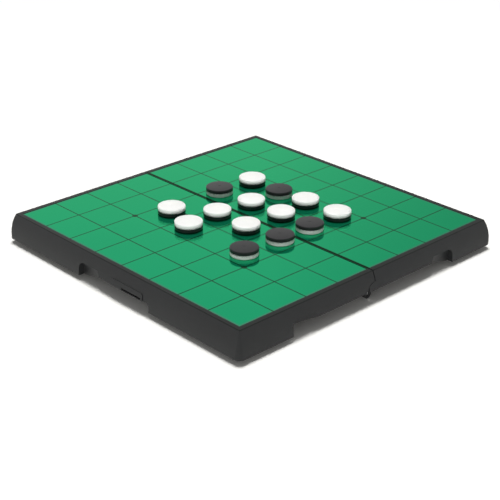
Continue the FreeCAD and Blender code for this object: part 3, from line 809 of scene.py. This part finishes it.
def soft_lamp(name, place, size, power):
    """Soft lamp that shines on the middle of the board.

    No surface mirrors it, because from above or from behind its image would cover part of the field.
    """
    data = bpy.data.lights.new(name, "AREA")
    data.shape = "RECTANGLE"
    data.size, data.size_y = size
    data.energy = power
    lamp = bpy.data.objects.new(name, data)
    lamp.location = place
    lamp.rotation_euler = (-Vector(place)).to_track_quat("-Z", "Y").to_euler()
    lamp.visible_glossy = False
    bpy.context.scene.collection.objects.link(lamp)


def studio_world():
    """Soft light all round at one level, which a camera sees as white.

    A mirror sees the white sweep too, up to where the sweep ends and the dim room begins.
    """
    world = bpy.data.worlds.new("studio")
    world.use_nodes = True
    tree = world.node_tree
    tree.nodes.clear()
    output = add_node(tree, "ShaderNodeOutputWorld")
    background = add_node(tree, "ShaderNodeBackground")
    path = add_node(tree, "ShaderNodeLightPath").outputs
    glossy = path["Is Glossy Ray"]
    seen = maths(tree, "MAXIMUM", path["Is Camera Ray"], path["Is Transmission Ray"])
    direction = apart(tree, add_node(tree, "ShaderNodeTexCoord").outputs["Generated"])
    sweep = stretch(tree, direction["Z"], SWEEP_END, (1.0, ROOM_LEVEL))
    side = maths(tree, "ADD", direction["X"], direction["Y"])
    screen = maths(
        tree, "MAXIMUM",
        stretch(tree, side, SCREEN_NEAR, (1.0, SCREEN_LEVEL)),
        stretch(tree, side, SCREEN_FAR, (SCREEN_LEVEL, 1.0)),
    )
    mirrored = maths(tree, "MULTIPLY", glossy, maths(tree, "MULTIPLY", sweep, screen))
    plain = maths(tree, "SUBTRACT", 1.0, maths(tree, "MAXIMUM", seen, glossy))
    lighting = maths(tree, "MULTIPLY", plain, WORLD_LEVEL)
    strength = maths(tree, "ADD", seen, maths(tree, "ADD", mirrored, lighting))
    feed(tree, background, Color=(1.0, 1.0, 1.0, 1.0), Strength=strength)
    tree.links.new(background.outputs[0], output.inputs[0])
    bpy.context.scene.world = world


def photo_camera():
    """Camera at the photo's place and angle."""
    data = bpy.data.cameras.new("camera")
    data.sensor_width = CAMERA_SENSOR
    data.lens = CAMERA_LENS
    data.clip_start = CAMERA_CLIP_START
    camera = bpy.data.objects.new("camera", data)
    camera.location = CAMERA_PLACE
    camera.rotation_euler = [math.radians(degrees) for degrees in CAMERA_TURN]
    bpy.context.scene.collection.objects.link(camera)
    bpy.context.scene.camera = camera


class REVERSI_OT_stage(bpy.types.Operator):
    """Set up the pale floor, the world, the lamps and the camera."""

    bl_idname = "reversi.stage"
    bl_label = "Stage"

    def execute(self, context):
        context.scene.view_settings.view_transform = "Standard"
        deselect_all()
        bpy.ops.mesh.primitive_plane_add(size=FLOOR_SIZE, location=(0, 0, TABLE_LEVEL))
        floor = bpy.context.object
        floor.name = "studio_floor"
        floor.data.materials.append(floor_material(context.scene.reversi_colours))
        studio_world()
        for name, place, size, power in LAMPS:
            soft_lamp(name, place, size, power)
        photo_camera()
        return {"FINISHED"}


class REVERSI_PT_panel(bpy.types.Panel):
    """Steps and settings of the board in the sidebar."""

    bl_idname = "REVERSI_PT_panel"
    bl_label = "Reversi Board"
    bl_space_type = "VIEW_3D"
    bl_region_type = "UI"
    bl_category = "Reversi"

    def draw(self, context):
        layout = self.layout
        for step in STEPS:
            layout.operator(step.bl_idname)
        for settings in (context.scene.reversi_sizes, context.scene.reversi_colours):
            box = layout.box()
            for key in settings.__annotations__:
                box.prop(settings, key)


STEPS = (
    REVERSI_OT_cases,
    REVERSI_OT_scoops,
    REVERSI_OT_sheets,
    REVERSI_OT_discs,
    REVERSI_OT_pins,
    REVERSI_OT_stage,
)
CLASSES = (ReversiSizes, ReversiColours, *STEPS, REVERSI_PT_panel)


def register():
    """Register the settings, the steps and the panel."""
    for item in CLASSES:
        bpy.utils.register_class(item)
    bpy.types.Scene.reversi_sizes = PointerProperty(type=ReversiSizes)
    bpy.types.Scene.reversi_colours = PointerProperty(type=ReversiColours)


def unregister():
    """Take the settings, the steps and the panel away again."""
    del bpy.types.Scene.reversi_colours
    del bpy.types.Scene.reversi_sizes
    for item in reversed(CLASSES):
        bpy.utils.unregister_class(item)


def main():
    """Register the classes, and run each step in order."""
    register()
    bpy.ops.reversi.cases()
    bpy.ops.reversi.scoops()
    bpy.ops.reversi.sheets()
    bpy.ops.reversi.discs()
    bpy.ops.reversi.pins()
    bpy.ops.reversi.stage()


if __name__ == "__main__":
    main()
